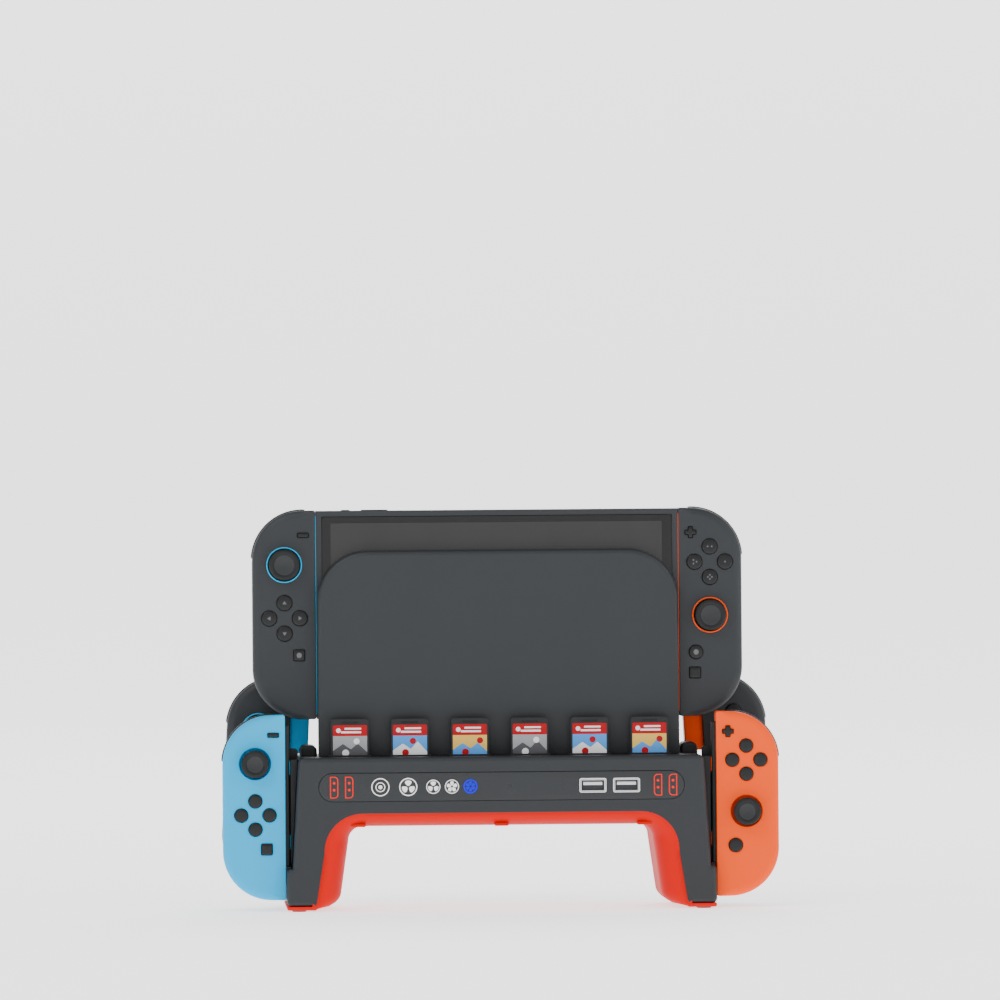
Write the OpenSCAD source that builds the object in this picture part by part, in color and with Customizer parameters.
// Handheld game console standing in its dock on an arched charging and cooling stand,
// with two controllers on the console, four more on the stand and six game cards.
// Millimetres. The front faces -Y, +X is to the right seen from the front, and +Z is up.
// The origin lies on the table under the middle of the stand.

/* [Stand] */
// Depth of the stand from its front face to its rear face
stand_depth = 88; // [84:1:94]
// Height of the stand's flat top above the table
stand_top = 85; // [84:0.5:86]
// Half of the stand's width along its top edge
stand_half = 112; // [111:0.5:113]
// Lean of the stand's side walls
side_lean = 3.3; // [2.8:0.1:3.6]
// Height where the wide foot block of each leg ends
ledge_top = 24; // [20:1:28]
// Half of the width over the two foot blocks
ledge_half = 118.9; // [118.5:0.1:119]
// Wall thickness of the stand's shells
stand_wall = 2.6; // [2:0.1:3]
// Depth position of the seam between front shell and rear shell
seam_y = -12; // [-14:1:-10]
// Height of the arch's crown
arch_top = 54; // [52:1:55]
// Half width of the straight crown of the arch
arch_flat = 76; // [72:1:78]
// Corner radius of the arch
arch_round = 22; // [18:1:24]
// Half width of the arch at the table
arch_foot = 103.4; // [101:0.2:104]

/* [Light band] */
// How far the band hangs below the arch's crown
band_drop = 7.5; // [5:0.5:9]
// How far the band stands inward from the legs
band_inward = 13.6; // [10:0.2:15]
// Thickness of the translucent wall
band_wall = 2; // [1.6:0.1:2.4]

/* [Dock] */
// Depth position of the dock's front face
dock_front = -15; // [-15.5:0.5:-14.5]
// Thickness of the front plate
plate_t = 7; // [6:0.5:7]
// Half width of the front plate
plate_half = 100.3; // [99:0.1:100.4]
// Height of the front plate's top edge above the table
plate_top = 198.7; // [190:0.5:205]
// Corner radius of the front plate
plate_round = 28; // [20:1:32]
// Depth position of the back shell's rear face
dock_rear = 36.2; // [34:0.2:38]
// Half width of the back shell
back_half = 98.5; // [96:0.5:99]
// Height of the back shell's top above the table
back_top = 194.6; // [185:0.2:198]
// Radius of the back shell's soft edges
back_round = 24; // [18:1:26]

/* [Console] */
// Half width of the tablet between its two controllers
tablet_half = 100.7; // [100:0.1:100.8]
// Height of the tablet
tablet_h = 115.6; // [112:0.2:118]
// Thickness of the tablet
tablet_t = 13.9; // [13:0.1:14.2]
// Height of the tablet's lower edge above the table
tablet_z = 105.6; // [105:0.1:106]

/* [Magnetic controllers] */
// Width of a magnetic controller
mag_w = 35.3; // [34.5:0.1:35.6]
// Height of a magnetic controller
mag_h = 116; // [114:0.5:117]
// Radius of its outer corners
mag_round = 28; // [25:0.5:29]

/* [Rail controllers] */
// Width of a rail controller without its rail
rail_w = 34.7; // [33:0.1:35]
// Height of a rail controller
rail_h = 102.3; // [100:0.1:103]
// Radius of its outer corners
rail_round = 27; // [24:0.5:28]

/* [Game cards] */
// Width of a game card
card_w = 21.3; // [21:0.1:21.6]
// Thickness of a game card
card_t = 3.2; // [3:0.1:3.4]
// Height of a game card
card_h = 31; // [30:0.5:32]
// Distance from one card to the next
card_pitch = 33.2; // [30:0.1:34]

/* [Hidden] */
$fn = 64;
eps = 0.01;

// One row per controller: name, side (-1 left, 1 right), type, colour
CONTROLLERS = [
    ["left_side", -1, "mag", "#44484B"],
    ["right_side", 1, "mag", "#44484B"],
    ["rear_left", -1, "mag", "#44484B"],
    ["rear_right", 1, "mag", "#44484B"],
    ["front_left", -1, "rail", "#4ECEF0"],
    ["front_right", 1, "rail", "#FF7855"],
];
CONTROLLER_PARTS = ["shell", "stick", "buttons", "shoulder", "trigger"];
CARDS = [1:6];

dark = "#44484B";
black = "#26282A";

// Stand
half_depth = stand_depth / 2;
pad_t = 0.9;
foot_plate_t = 2;
shell_low = pad_t + foot_plate_t;
corner_r = 7;
below = -1;
function side_x(z) = stand_half + (stand_top - z) * tan(side_lean);
screw_x = 110;
screw_y = 28;
boss_r = 4;
boss_top = 17;
rib_t = 2;
screw_r = 1.25;
screw_hole_r = 1.3;
screw_head_r = 2.6;
screw_top = 13;
pad_w = 7.8;
pad_l = 22;
bump_in = 101;
bump_out = 110.6;
bump_h = 7.5;
bump_front = -11.5;
bump_back = 13;

// Steps of the light band's bulge: half depth of each step and its share of the full bulge
BAND_STEPS = [[41.3, 0], [38, 0.45], [32, 0.8], [24, 1]];
band_corner_shrink = 14;
VENT_X = [14, 34.5, 55];
vent_l = 15;
vent_w = 4.5;
vent_y = 20;

// Touch panel and sockets
panel_half = 101;
panel_z = 68.6;
panel_h = 15.7;
panel_t = 1.5;
panel_gap = 0.1;
SOCKET_X = [50.4, 69];
socket_w = 13.7;
socket_h = 6.8;
socket_l = 13.9;
socket_wall = 0.6;
tongue_w = 10.6;
tongue_h = 1.8;
tongue_in = 1.2;
tongue_up = 1;

// Keyholes for hanging the stand on two screws
key_x = 95;
key_small_z = 70.9;
key_small_r = 2.45;
key_large_z = 64.6;
key_large_r = 3.6;
key_neck = 3.2;

// Fans
fan_x = 46;
fan_y = 13;
fan_z = 58;
fan_size = 40;
fan_h = 10;
fan_bore_r = 18.8;
fan_tip_r = 18.1;
fan_hub_r = 8;
fan_shaft_r = 1.2;
fan_shaft_gap = 0.05;
fan_corner_r = 3;
fan_post_in = 2.6;
fan_post_r = 2.2;
spider_t = 1.4;
spider_w = 2;
bearing_r = 2.8;
bearing_h = 2.4;
hub_low = 2.8;
hub_h = 6.6;
shaft_low = 0.3;
shaft_h = 4;
blade_count = 7;
blade_w = 10;
blade_root = 1.5;
blade_trim = 0.1;
blade_t = 1.1;
blade_pitch = 38;
grille_rows = 5;
grille_pitch = 6.4;
grille_w = 3.2;

// Card tray
tray_half = 98;
tray_front = -28;
tray_back = -17.4;
tray_low = 72.5;
tray_gap = 0.2;
card_y = -22.7;
card_low = 75;
slot_gap = 0.35;

// Charge rails on the stand's sides
front_y = -29.7;
rear_y = 22;

// Link cable from the stand's top into the dock
cable_r = 1.7;
cable_sides = 8;
cable_y = 28;
cable_gap = 0.15;
CABLE = [
    [97, cable_y, 78], [97, cable_y, 82], [97, cable_y, 85.6], [96.4, cable_y, 88.2],
    [95, cable_y, 90.6], [92.6, cable_y, 93], [89.2, cable_y, 95.2], [84.8, cable_y, 97.2],
    [79.6, cable_y, 98.7], [74, cable_y, 99.6], [68, cable_y, 100], [60, cable_y, 100],
    [51, cable_y, 100], [42, cable_y, 100],
];
cable_z = CABLE[13][2];
cable_shelf_w = 10;
cable_shelf_t = 3.4;
cable_shelf_front = 22;
dock_socket_l = 10;
dock_socket_h = 8;

// Dock
slot_front = dock_front + plate_t;
slot_depth = 15.5;
back_front = slot_front + slot_depth;
dock_wall = 2.4;
dock_floor = tablet_z - 0.4;
floor_t = 2.4;
notch_left = 54.8;
notch_top = 102;
notch_front = 20;
rib_pitch = 5.6;
rib_w = 1.4;
rib_d = 1.6;
cover_half = 66;
cover_low = 104;
cover_high = 188;
cover_gap = 0.3;
cover_t = 2.2;
cover_mark_w = 34;
cover_mark_h = 7.8;
cover_mark_z = 139;
plug_w = 8.3;
plug_t = 2.4;
plug_top = 110;
board_t = 1.6;
board_left = -60;
board_w = 110;
board_y = back_front + 2.8;
board_low = stand_top + 9;
board_h = 56;
plug_board_half = 30;
plug_board_front = 4;
plug_board_z = stand_top + 12;
vent_slot_x = -31;
vent_slot_z = 91;
vent_slot_l = 10;
vent_slot_w = 2.3;
recess_in = 5;
recess_y = 17;
recess_w = 11;
recess_z = 103;
recess_h = 42;

// Console
tablet_y = slot_front + slot_depth / 2;
tablet_front = tablet_y - tablet_t / 2;
tablet_back = tablet_y + tablet_t / 2;
tablet_high = tablet_z + tablet_h;
glass_rim = 3.3;
glass_t = 1.4;
glass_gap = 0.15;
tablet_wall = 1.8;
port_gap = 0.35;
flap_left = 57;
flap_right = 83;
flap_h = 5.5;
flap_t = 1.8;
part_gap = 0.3;
power_x = -84;
volume_x = -68;
volume_l = 15;
kick_half = 94;
kick_h = 46;
kick_band = 12;
kick_t = 1.2;
battery_w = 110;
battery_t = 5;
battery_h = 70;
battery_in = 4;
battery_low = 20;

// Controllers: seats on the console and on the stand
side_seam = 101;
side_z = 105.5;
rear_in = 119.8;
rear_z = 12.2;
rear_lean = 2.9;
front_in = 119.2;
front_z = 6.4;
body_t = 13.9;
shoulder_w = 3.2;
shoulder_proud = 0.7;
shoulder_front = -3.4;
shoulder_back = 1.6;
shoulder_travel = 0.9;
trigger_front = 4.4;
trigger_out = 14.2;
trigger_band = 13.4;
trigger_cut = 2;
fit_gap = 0.3;
rail_t = 2.3;
rail_half = 4.2;
rail_low = 18.4;
rail_high = 96.6;
plate_in = 6.2;
plate_half_y = 5.5;
plate_low = 74;
plate_high = 109;

// Faces of the two controller types
function is_mag(c) = c[2] == "mag";
function width(c) = is_mag(c) ? mag_w : rail_w;
function height(c) = is_mag(c) ? mag_h : rail_h;
function outer_round(c) = is_mag(c) ? mag_round : rail_round;
function cluster_x(c) = is_mag(c) ? 17.4 : 16.7;
function upper_z(c) = is_mag(c) ? 85.8 : 75.4;
function lower_z(c) = is_mag(c) ? 56.2 : 47;
function stick_z(c) = c[1] < 0 ? upper_z(c) : lower_z(c);
function pad_z(c) = c[1] < 0 ? lower_z(c) : upper_z(c);
function spread(c) = is_mag(c) ? 8.5 : 7.8;
function button_r(c) = is_mag(c) ? 4.2 : 3.7;
function cap_r(c) = is_mag(c) ? 8.85 : 7.8;
function small_x(c) = is_mag(c) ? 6.8 : 6.6;
function small_z(c) = is_mag(c) ? 102.3 : 91.2;
function square_x(c) = is_mag(c) ? 9.4 : 10.5;
function square_z(c) = is_mag(c) ? 35.6 : 28.2;
chat_x = 8.8;
chat_z = 24.2;
face_y = -body_t / 2;
button_proud = 1;
button_root = 2.2;
button_room = 3.4;
button_gap = 0.25;
home_r = 3.8;
square_w = 6;
minus_w = 6;
minus_h = 2.2;
well_extra = 0.9;
well_back = 3.4;
stick_pivot_y = -2;
stick_ball_r = 5;
stick_stem_r = 3.4;
stick_reach = 7.3;
cap_t = 2.4;
dish_r = 5.8;
dish_d = 0.6;

// An outline in X and Z carried from depth y0 to depth y1
module slab(y0, y1) {
    translate([0, y1, 0]) rotate([90, 0, 0]) linear_extrude(y1 - y0) children();
}

// A part drawn on the right, or its mirror image on the left
module on_side(s) {
    if (s < 0) mirror([1, 0, 0]) children();
    else children();
}

module both_sides() {
    for (s = [-1, 1]) on_side(s) children();
}

// A rectangle centred on X that stands on z0
module band_rect(half, z0, z1) {
    translate([-half, z0]) square([2 * half, z1 - z0]);
}

// An oblong with round ends, centred on the origin
module pill(l, w) {
    square([l - w, w], center = true);
    for (s = [-1, 1]) translate([s * (l - w) / 2, 0]) circle(w / 2);
}

// A rectangle with four equal round corners, centred on the origin
module round_rect(l, w, r) {
    square([l - 2 * r, w], center = true);
    square([l, w - 2 * r], center = true);
    for (x = [-1, 1], y = [-1, 1]) translate([x * (l / 2 - r), y * (w / 2 - r)]) circle(r);
}

// A rectangle that stands on z0 with its two upper corners round
module tombstone(half, z0, z1, r) {
    band_rect(half, z0, z1 - r);
    band_rect(half - r, z0, z1);
    for (s = [-1, 1]) translate([s * (half - r), z1 - r]) circle(r);
}

// ---- Stand ----

module stand_outline(inset) {
    z1 = stand_top - inset;
    polygon([[-side_x(shell_low) + inset, shell_low], [-side_x(z1) + inset, z1],
             [side_x(z1) - inset, z1], [side_x(shell_low) - inset, shell_low]]);
    band_rect(ledge_half - inset, shell_low, ledge_top - inset);
}

// The arch opening; bulge goes from 0 at the shells' edge to 1 at the fullest part of the light band
module arch_region(bulge, grow) {
    r = arch_round - band_corner_shrink * bulge + grow;
    z1 = arch_top - band_drop * bulge + grow;
    flat = arch_flat + (band_corner_shrink - band_inward) * bulge;
    foot = arch_foot - band_inward * bulge + grow;
    band_rect(flat, below, z1);
    for (s = [-1, 1]) translate([s * flat, z1 - r]) circle(r);
    polygon([[-flat - r, z1 - r], [-foot, below], [foot, below], [flat + r, z1 - r]]);
}

// Everything inside the stand's plan, with its four upright corners round
module stand_plan(z0, z1) {
    translate([0, 0, z0]) linear_extrude(z1 - z0) round_rect(2 * ledge_half, stand_depth, corner_r);
}

// Screw bosses in the legs, each tied to the side wall by a rib
module screw_bosses(sy) {
    h = boss_top - shell_low;
    both_sides() translate([screw_x, sy * screw_y, shell_low]) difference() {
        union() {
            cylinder(r = boss_r, h = h);
            translate([0, -rib_t / 2, 0]) cube([ledge_half - stand_wall / 2 - screw_x, rib_t, h]);
        }
        translate([0, 0, -1]) cylinder(r = screw_hole_r, h = h + 2);
    }
}

module stand_shell(y0, y1, wall_front, wall_back) {
    difference() {
        intersection() {
            slab(y0, y1) stand_outline(0);
            stand_plan(shell_low, stand_top);
        }
        slab(y0 - 1, y1 + 1) arch_region(0, 0);
        slab(y0 + wall_front, y1 - wall_back) stand_outline(stand_wall);
    }
}

module stand_front_shell() {
    color(dark) {
        difference() {
            stand_shell(-half_depth, seam_y, stand_wall, -1);
            slab(-half_depth - 1, -half_depth + panel_t) panel_outline(panel_gap);
            slab(-half_depth - 1, -half_depth + 2 * stand_wall) socket_holes(2 * panel_gap);
            translate([-tray_half - tray_gap, tray_front - tray_gap, tray_low])
                cube([2 * (tray_half + tray_gap), tray_back - tray_front + 2 * tray_gap, stand_top]);
        }
        screw_bosses(-1);
    }
}

module keyhole() {
    translate([0, key_small_z]) circle(key_small_r);
    translate([0, key_large_z]) circle(key_large_r);
    translate([-key_neck / 2, key_large_z]) square([key_neck, key_small_z - key_large_z]);
}

module fan_grille() {
    both_sides() for (i = [0:grille_rows - 1]) {
        off = (i - (grille_rows - 1) / 2) * grille_pitch;
        translate([fan_x, fan_y + off, stand_top - 2 * stand_wall])
            linear_extrude(4 * stand_wall) pill(2 * sqrt(fan_tip_r ^ 2 - off ^ 2), grille_w);
    }
}

module guide_bump() {
    translate([(bump_in + bump_out) / 2, 0, 0]) slab(bump_front, bump_back)
        translate([0, stand_top - 1]) tombstone((bump_out - bump_in) / 2, 0, bump_h + 1, 3);
}

module stand_rear_shell() {
    color(dark) {
        difference() {
            union() {
                stand_shell(seam_y, half_depth, -1, stand_wall);
                both_sides() guide_bump();
            }
            both_sides() translate([key_x, 0, 0])
                slab(half_depth - 2 * stand_wall, half_depth + 1) keyhole();
            fan_grille();
            translate([CABLE[0][0], cable_y, stand_top - 2 * stand_wall])
                cylinder(r = cable_r + cable_gap, h = 4 * stand_wall);
        }
        screw_bosses(1);
        cable_shelf();
    }
}

// Shelf on the rear wall that the link cable ends on
module cable_shelf() {
    translate([CABLE[0][0] - cable_shelf_w / 2, cable_shelf_front, CABLE[0][2] - cable_shelf_t])
        cube([cable_shelf_w, half_depth - stand_wall - cable_shelf_front + eps, cable_shelf_t]);
}

// The band's outer form, and with grow its inner form
module band_form(grow) {
    for (step = BAND_STEPS) slab(grow - step[0], step[0] - grow) difference() {
        arch_region(0, band_wall);
        arch_region(step[1], grow);
    }
}

module foot_plates() {
    difference() {
        stand_plan(pad_t, shell_low);
        translate([-arch_foot + band_inward, -half_depth - 1, below])
            cube([2 * (arch_foot - band_inward), stand_depth + 2, stand_top]);
        both_sides() for (y = [-1, 1]) translate([screw_x, y * screw_y, below]) {
            cylinder(r = screw_hole_r, h = shell_low + 2);
            cylinder(r = screw_head_r + 0.1, h = pad_t + 1.2 - below);
        }
    }
}

module light_band() {
    color("#F0381C") {
        difference() {
            intersection() {
                difference() {
                    band_form(0);
                    band_form(band_wall);
                }
                translate([-ledge_half, -half_depth, shell_low - eps])
                    cube([2 * ledge_half, stand_depth, stand_top]);
            }
            for (x = VENT_X) both_sides() for (y = [0, vent_y])
                translate([x, y, arch_top - band_drop - 1])
                linear_extrude(band_wall + 2) pill(vent_l, vent_w);
        }
        foot_plates();
    }
}

module foot_pads() {
    color("#77797B") both_sides() for (y = [-1, 1])
        translate([screw_x + 2, y * screw_y, 0]) linear_extrude(pad_t) rotate(90) pill(pad_l, pad_w);
}

module panel_outline(grow) {
    translate([0, panel_z]) pill(2 * (panel_half + grow), panel_h + 2 * grow);
}

module socket_holes(grow) {
    for (x = SOCKET_X) translate([x, panel_z])
        square([socket_w + 2 * grow, socket_h + 2 * grow], center = true);
}

module touch_panel() {
    color("#3B4043") difference() {
        slab(-half_depth, -half_depth + panel_t) panel_outline(0);
        slab(-half_depth - 1, -half_depth + panel_t + 1) socket_holes(panel_gap);
    }
}

module usb_sockets() {
    color("#C9CDD0") for (x = SOCKET_X) translate([x, -half_depth + 0.1, panel_z]) {
        difference() {
            slab(0, socket_l) square([socket_w, socket_h], center = true);
            slab(-1, socket_l - 1)
                square([socket_w - 2 * socket_wall, socket_h - 2 * socket_wall], center = true);
        }
        slab(tongue_in, socket_l - 0.5) translate([0, tongue_up])
            square([tongue_w, tongue_h], center = true);
    }
}

module control_board() {
    color("#1F5A3A") slab(tray_front - 2, tray_front - 2 + board_t) translate([0, panel_z])
        square([2 * (tray_half - 2), 2 * panel_h - 8], center = true);
}

// Square frame with a three-armed spider for the bearing and four posts up to the stand's top
module fan_frame() {
    linear_extrude(fan_h) difference() {
        round_rect(fan_size, fan_size, fan_corner_r);
        circle(fan_bore_r);
    }
    difference() {
        union() {
            cylinder(r = fan_hub_r - 0.6, h = spider_t);
            for (a = [0, 120, 240]) rotate(a) translate([0, -spider_w / 2, 0])
                cube([fan_bore_r + 1, spider_w, spider_t]);
            cylinder(r = bearing_r, h = bearing_h);
        }
        translate([0, 0, -1]) cylinder(r = fan_shaft_r + fan_shaft_gap, h = fan_h);
    }
    post = fan_size / 2 - fan_post_in;
    for (x = [-1, 1], y = [-1, 1]) translate([x * post, y * post, fan_h])
        cylinder(r = fan_post_r, h = stand_top - stand_wall - fan_z - fan_h);
}

module fan_frames() {
    color(black) both_sides() translate([fan_x, fan_y, fan_z]) fan_frame();
}

module fan_rotor(s) {
    color("#2E3032") translate([s * fan_x, fan_y, fan_z]) {
        translate([0, 0, hub_low]) cylinder(r = fan_hub_r, h = hub_h);
        translate([0, 0, shaft_low]) cylinder(r = fan_shaft_r, h = shaft_h);
        for (i = [0:blade_count - 1]) rotate(i * 360 / blade_count) intersection() {
            translate([fan_hub_r - blade_root, 0, hub_low + hub_h / 2]) rotate([blade_pitch, 0, 0])
                translate([0, -blade_w / 2, -blade_t / 2])
                cube([fan_tip_r - fan_hub_r + blade_root, blade_w, blade_t]);
            translate([0, 0, hub_low + blade_trim]) cylinder(r = fan_tip_r, h = hub_h - 2 * blade_trim);
        }
    }
}

module card_place(i) {
    translate([(i - 3.5) * card_pitch, card_y, 0]) children();
}

module card_tray() {
    color(black) difference() {
        translate([-tray_half, tray_front, tray_low])
            cube([2 * tray_half, tray_back - tray_front, stand_top - tray_low]);
        for (i = CARDS) card_place(i)
            translate([-card_w / 2 - slot_gap, -card_t / 2 - slot_gap, card_low - 0.1])
            cube([card_w + 2 * slot_gap, card_t + 2 * slot_gap, stand_top]);
    }
}

// Magnetic and contact blocks between the leaning side walls and the controllers
module charge_rails() {
    front_high = stand_top - 1;
    front_low = ledge_top + 2;
    rear_high = stand_top - 5;
    rear_low = ledge_top + 6;
    color(black) both_sides() {
        slab(front_y - 3, front_y + 3) polygon([
            [side_x(front_high) + eps, front_high], [front_in - rail_t - 0.4, front_high],
            [front_in - rail_t - 0.4, front_low], [side_x(front_low) + eps, front_low]]);
        slab(rear_y - 4.5, rear_y + 4.5) polygon([
            [side_x(rear_high) + eps, rear_high], [rear_face(rear_high), rear_high],
            [rear_face(rear_low), rear_low], [side_x(rear_low) + eps, rear_low]]);
    }
}
function rear_face(z) = rear_in - (z - rear_z) * tan(rear_lean) - 0.4;

// Points of a ring round one point of a route that stays in a plane of constant depth
function ring(p, dir, r, n) = [for (k = [0:n - 1]) let (a = 360 * k / n)
    [p[0] - dir[2] * r * cos(a), p[1] + r * sin(a), p[2] + dir[0] * r * cos(a)]];
function unit(v) = v / norm(v);
function heading(path, i) = unit(path[min(i + 1, len(path) - 1)] - path[max(i - 1, 0)]);

module tube(path, r, n) {
    rings = len(path);
    points = [for (i = [0:rings - 1]) each ring(path[i], heading(path, i), r, n)];
    sides = [for (i = [0:rings - 2], k = [0:n - 1]) let (m = (k + 1) % n)
        [i * n + k, i * n + m, (i + 1) * n + m, (i + 1) * n + k]];
    ends = [[for (k = [n - 1:-1:0]) k], [for (k = [0:n - 1]) (rings - 1) * n + k]];
    polyhedron(points, concat(sides, ends));
}

module link_cable() {
    color("#5A5D60") tube(CABLE, cable_r, cable_sides);
}

module shell_screws() {
    color("silver") both_sides() for (y = [-1, 1]) translate([screw_x, y * screw_y, 0]) {
        translate([0, 0, pad_t]) cylinder(r = screw_head_r, h = 1);
        translate([0, 0, pad_t]) cylinder(r = screw_r, h = screw_top);
    }
}

// ---- Dock ----

module dock_front_plate() {
    color(dark) {
        slab(dock_front, slot_front) tombstone(plate_half, stand_top, plate_top, plate_round);
        difference() {
            translate([-back_half, slot_front - 1, dock_floor - floor_t])
                cube([2 * back_half, slot_depth + 1 - eps, floor_t]);
            translate([0, tablet_y, dock_floor - 2 * floor_t])
                linear_extrude(4 * floor_t) square([plug_w + 0.6, plug_t + 0.6], center = true);
        }
        both_sides() translate([back_half - dock_wall, slot_front - 1, stand_top])
            cube([dock_wall, slot_depth + 1 - eps, dock_floor - stand_top - 1]);
    }
}

// The soft back form of the dock, inset from its outer surface
module back_form(inset) {
    half = back_half - inset;
    z1 = back_top - inset;
    y1 = dock_rear - inset;
    r = back_round - inset;
    intersection() {
        slab(back_front + inset, y1) tombstone(half, stand_top, z1, r);
        translate([0, (y1 + back_front - r) / 2, stand_top]) linear_extrude(z1 - stand_top)
            round_rect(2 * half, y1 - back_front + r, r);
        rotate([90, 0, 90]) translate([0, 0, -half]) linear_extrude(2 * half) union() {
            translate([back_front - r, stand_top]) square([y1 - back_front, z1 - stand_top]);
            translate([back_front - r, stand_top]) square([y1 - back_front + r, z1 - stand_top - r]);
            translate([y1 - r, z1 - r]) circle(r);
        }
    }
}

module notch_box(grow) {
    translate([notch_left - grow, notch_front - grow, stand_top - 1])
        cube([back_half, dock_rear, notch_top - stand_top + 1 + grow]);
}

module cover_box(grow) {
    translate([-cover_half - grow, dock_rear - cover_t - grow, cover_low - grow])
        cube([2 * cover_half + 2 * grow, 2 * cover_t, cover_high - cover_low + 2 * grow]);
}

module dock_back_shell() {
    color(dark) {
        difference() {
            back_form(0);
            difference() {
                back_form(dock_wall);
                notch_box(dock_wall);
            }
            notch_box(0);
            translate([-back_half, back_front - 1, stand_top - 1])
                cube([back_half + notch_left - dock_wall, 4, dock_floor - stand_top - floor_t]);
            cover_box(cover_gap);
            for (i = [0:4]) translate([vent_slot_x - i * rib_pitch, dock_rear, vent_slot_z])
                slab(-2 * dock_wall, 1) rotate(90) pill(vent_slot_l, vent_slot_w);
            translate([-back_half - 1, recess_y, recess_z]) cube([recess_in + 1, recess_w, recess_h]);
            translate([notch_left - 2 * dock_wall, cable_y, cable_z]) rotate([0, 90, 0])
                cylinder(r = cable_r + cable_gap, h = 4 * dock_wall);
        }
        for (i = [0:6]) translate([notch_left + 4 + i * rib_pitch, notch_front - eps, stand_top + 1.5])
            cube([rib_w, rib_d, notch_top - stand_top - 1.5]);
    }
}

module dock_rear_cover() {
    color(dark) difference() {
        intersection() {
            back_form(0);
            cover_box(0);
        }
        slab(dock_rear - 0.5, dock_rear + 1) translate([0, cover_mark_z]) difference() {
            pill(cover_mark_w, cover_mark_h);
            pill(cover_mark_w - 1.6, cover_mark_h - 1.6);
        }
    }
}

// Upright board with the cable's socket, and a small lying board that carries the console's plug
module dock_board() {
    color("#1F5A3A") {
        translate([board_left, board_y, board_low]) cube([board_w, board_t, board_h]);
        translate([-plug_board_half, tablet_y - plug_board_front, plug_board_z])
            cube([2 * plug_board_half, board_y - tablet_y + plug_board_front + eps, board_t]);
    }
    color("#C9CDD0") translate([0, tablet_y, plug_board_z]) linear_extrude(plug_top - plug_board_z)
        square([plug_w, plug_t], center = true);
    color(black) translate([CABLE[13][0] - dock_socket_l, board_y, cable_z - dock_socket_h / 2])
        cube([dock_socket_l, cable_y + dock_socket_h / 2 - board_y, dock_socket_h]);
}

// ---- Console ----

module tablet_shell() {
    color(dark) difference() {
        translate([-tablet_half, tablet_front, tablet_z]) cube([2 * tablet_half, tablet_t, tablet_h]);
        translate([0, tablet_front, tablet_z + tablet_h / 2]) {
            slab(-1, glass_t + 0.1) square([2 * (tablet_half - glass_rim) + 2 * glass_gap,
                tablet_h - 2 * glass_rim + 2 * glass_gap], center = true);
            slab(0, tablet_t - tablet_wall - 1.6) square([2 * (tablet_half - glass_rim) - 6,
                tablet_h - 2 * glass_rim - 6], center = true);
        }
        translate([0, tablet_y, tablet_z - 1]) linear_extrude(12)
            square([plug_w + 2 * port_gap, plug_t + 2 * port_gap], center = true);
        translate([flap_left - part_gap, tablet_back - flap_t - part_gap, tablet_high - flap_h - part_gap])
            cube([flap_right - flap_left + 2 * part_gap, flap_t + 1, flap_h + 1]);
        slab(tablet_back - kick_t - 0.2, tablet_back + 1) kick_outline(0.3);
        translate([power_x, tablet_y, tablet_high - 1.4]) cylinder(r = 2.8, h = 2);
        translate([volume_x, tablet_y, tablet_high - 1.4]) linear_extrude(2) pill(volume_l + 0.6, 3.6);
    }
}

module screen_glass() {
    color("#2A2B2A") slab(tablet_front + 0.1, tablet_front + glass_t) translate([0, tablet_z + tablet_h / 2])
        square([2 * (tablet_half - glass_rim), tablet_h - 2 * glass_rim], center = true);
}

module kick_outline(grow) {
    translate([0, tablet_z + 3]) difference() {
        band_rect(kick_half + grow, -grow, kick_h + grow);
        band_rect(kick_half - kick_band - grow, kick_band + grow, kick_h + grow + 1);
    }
}

module kickstand() {
    color(dark) slab(tablet_back - kick_t, tablet_back) kick_outline(0);
}

module card_flap() {
    color(black) translate([flap_left, tablet_back - flap_t, tablet_high - flap_h])
        cube([flap_right - flap_left, flap_t, flap_h - 0.2]);
}

module top_buttons() {
    color(black) {
        translate([power_x, tablet_y, tablet_high - 0.8]) cylinder(r = 2.5, h = 1.3);
        translate([volume_x, tablet_y, tablet_high - 0.8]) linear_extrude(1.3) pill(volume_l, 3);
    }
}

module console_battery() {
    color("#3A3A3A") translate([-battery_w / 2, tablet_front + battery_in, tablet_z + battery_low])
        cube([battery_w, battery_t, battery_h]);
}

module game_card(i) {
    color(black) card_place(i) slab(-card_t / 2, card_t / 2) translate([0, card_low + card_h / 2])
        round_rect(card_w, card_h, 1.2);
}

// ---- Controllers ----

// Puts a controller, drawn with its inner edge at x = 0 and its foot at z = 0, in its seat
module seat(c) {
    on_side(c[1]) {
        if (c[2] == "rail") translate([front_in, front_y, front_z]) children();
        else if (c[0] == "rear_left" || c[0] == "rear_right")
            translate([rear_in, rear_y, rear_z]) rotate([0, -rear_lean, 0]) children();
        else translate([side_seam, tablet_y, side_z]) children();
    }
}

// The face of a controller: straight inner edge, large round outer corners
module face_outline(c, inset) {
    w = width(c);
    h = height(c);
    r = outer_round(c);
    if (w - r > inset) translate([inset, inset]) square([w - r - inset, h - 2 * inset]);
    translate([w - r, r]) square([r - inset, h - 2 * r]);
    intersection() {
        for (z = [r, h - r]) translate([w - r, z]) circle(r - inset);
        translate([w - r - eps, inset]) square([r, h - 2 * inset]);
    }
}

// The ring piece of the outer upper corner between two insets, from x0 outward and above z0
module corner_band(c, outer, inner, x0, z0) {
    intersection() {
        difference() {
            face_outline(c, outer);
            face_outline(c, inner);
        }
        translate([x0, z0]) square([width(c), height(c)]);
    }
}

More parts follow.
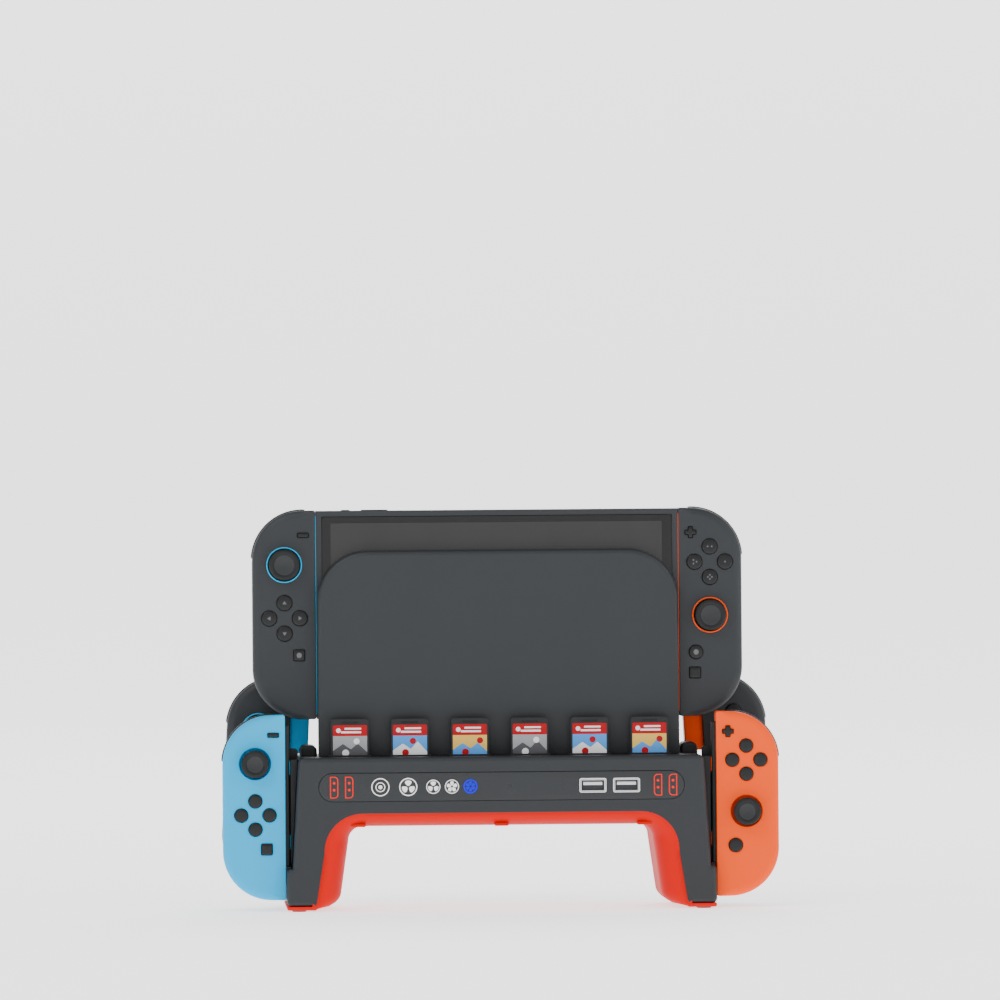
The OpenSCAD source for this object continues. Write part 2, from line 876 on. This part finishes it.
module face_buttons(c, grow) {
    translate([cluster_x(c), pad_z(c)]) for (a = [0, 90, 180, 270]) rotate(a)
        translate([spread(c), 0]) circle(button_r(c) + grow);
    translate([small_x(c), small_z(c)]) small_mark(c, grow);
    translate([square_x(c), square_z(c)])
        if (c[1] < 0) square(square_w + 2 * grow, center = true);
        else circle(home_r + grow);
    if (is_mag(c) && c[1] > 0) translate([chat_x, chat_z]) square(square_w + 2 * grow, center = true);
}

// Minus on the left controllers, plus on the right ones
module small_mark(c, grow) {
    square([minus_w + 2 * grow, minus_h + 2 * grow], center = true);
    if (c[1] > 0) square([minus_h + 2 * grow, minus_w + 2 * grow], center = true);
}

module controller_shell(c) {
    w = width(c);
    h = height(c);
    r = outer_round(c);
    color(c[3]) {
        difference() {
            slab(-body_t / 2, body_t / 2) face_outline(c, 0);
            slab(face_y - 1, face_y + button_room) face_buttons(c, button_gap);
            slab(face_y - 1, well_back) translate([cluster_x(c), stick_z(c)]) circle(cap_r(c) + well_extra);
            slab(shoulder_front - fit_gap, trigger_cut) corner_band(c, -2,
                shoulder_w + fit_gap + shoulder_travel, 5.2, h - r - shoulder_travel - fit_gap - 0.2);
            slab(trigger_cut - eps, body_t) corner_band(c, -2, trigger_band + 0.5, w - r - 0.4, h - r - 0.6);
        }
        if (is_mag(c)) release_button(c);
        else slab(-rail_half, rail_half) translate([-rail_t, rail_low])
            square([rail_t + eps, rail_high - rail_low]);
    }
    if (is_mag(c) && c[0] != "left_side" && c[0] != "right_side") color(c[1] < 0 ? "#3E9DB8" : "#E05C40")
        slab(-plate_half_y, plate_half_y) translate([-plate_in, plate_low])
            square([plate_in, plate_high - plate_low]);
}

module release_button(c) {
    slab(body_t / 2 - 1, body_t / 2 + 3.4) translate([8.4, height(c) - 20.4]) round_rect(8.8, 7.8, 2.5);
}

module controller_stick(c) {
    color(black) translate([cluster_x(c), stick_pivot_y, stick_z(c)]) {
        sphere(r = stick_ball_r);
        tip = face_y - stick_reach - stick_pivot_y;
        slab(tip + cap_t / 2, 0) circle(stick_stem_r);
        difference() {
            slab(tip, tip + cap_t) circle(cap_r(c));
            slab(tip - 1, tip + dish_d) circle(dish_r);
        }
    }
}

module controller_buttons(c) {
    color(black) slab(face_y - button_proud, face_y + button_root) face_buttons(c, 0);
}

module controller_shoulder(c) {
    color(black) slab(shoulder_front, shoulder_back) corner_band(c, -shoulder_proud, shoulder_w,
        5.6, height(c) - outer_round(c));
}

module controller_trigger(c) {
    color(black) slab(trigger_front, trigger_out) corner_band(c, 0.6, trigger_band,
        width(c) - outer_round(c), height(c) - outer_round(c));
}

stand_front_shell();
stand_rear_shell();
light_band();
foot_pads();
touch_panel();
usb_sockets();
control_board();
fan_frames();
fan_rotor(-1);  // fan_rotor_left
fan_rotor(1);  // fan_rotor_right
card_tray();
charge_rails();
link_cable();
shell_screws();
dock_front_plate();
dock_back_shell();
dock_rear_cover();
dock_board();
tablet_shell();
screen_glass();
kickstand();
card_flap();
top_buttons();
console_battery();
for (i = CARDS) game_card(i);
for (c = CONTROLLERS) {
    seat(c) controller_shell(c);
    seat(c) controller_stick(c);
    seat(c) controller_buttons(c);
    seat(c) controller_shoulder(c);
    seat(c) controller_trigger(c);
}
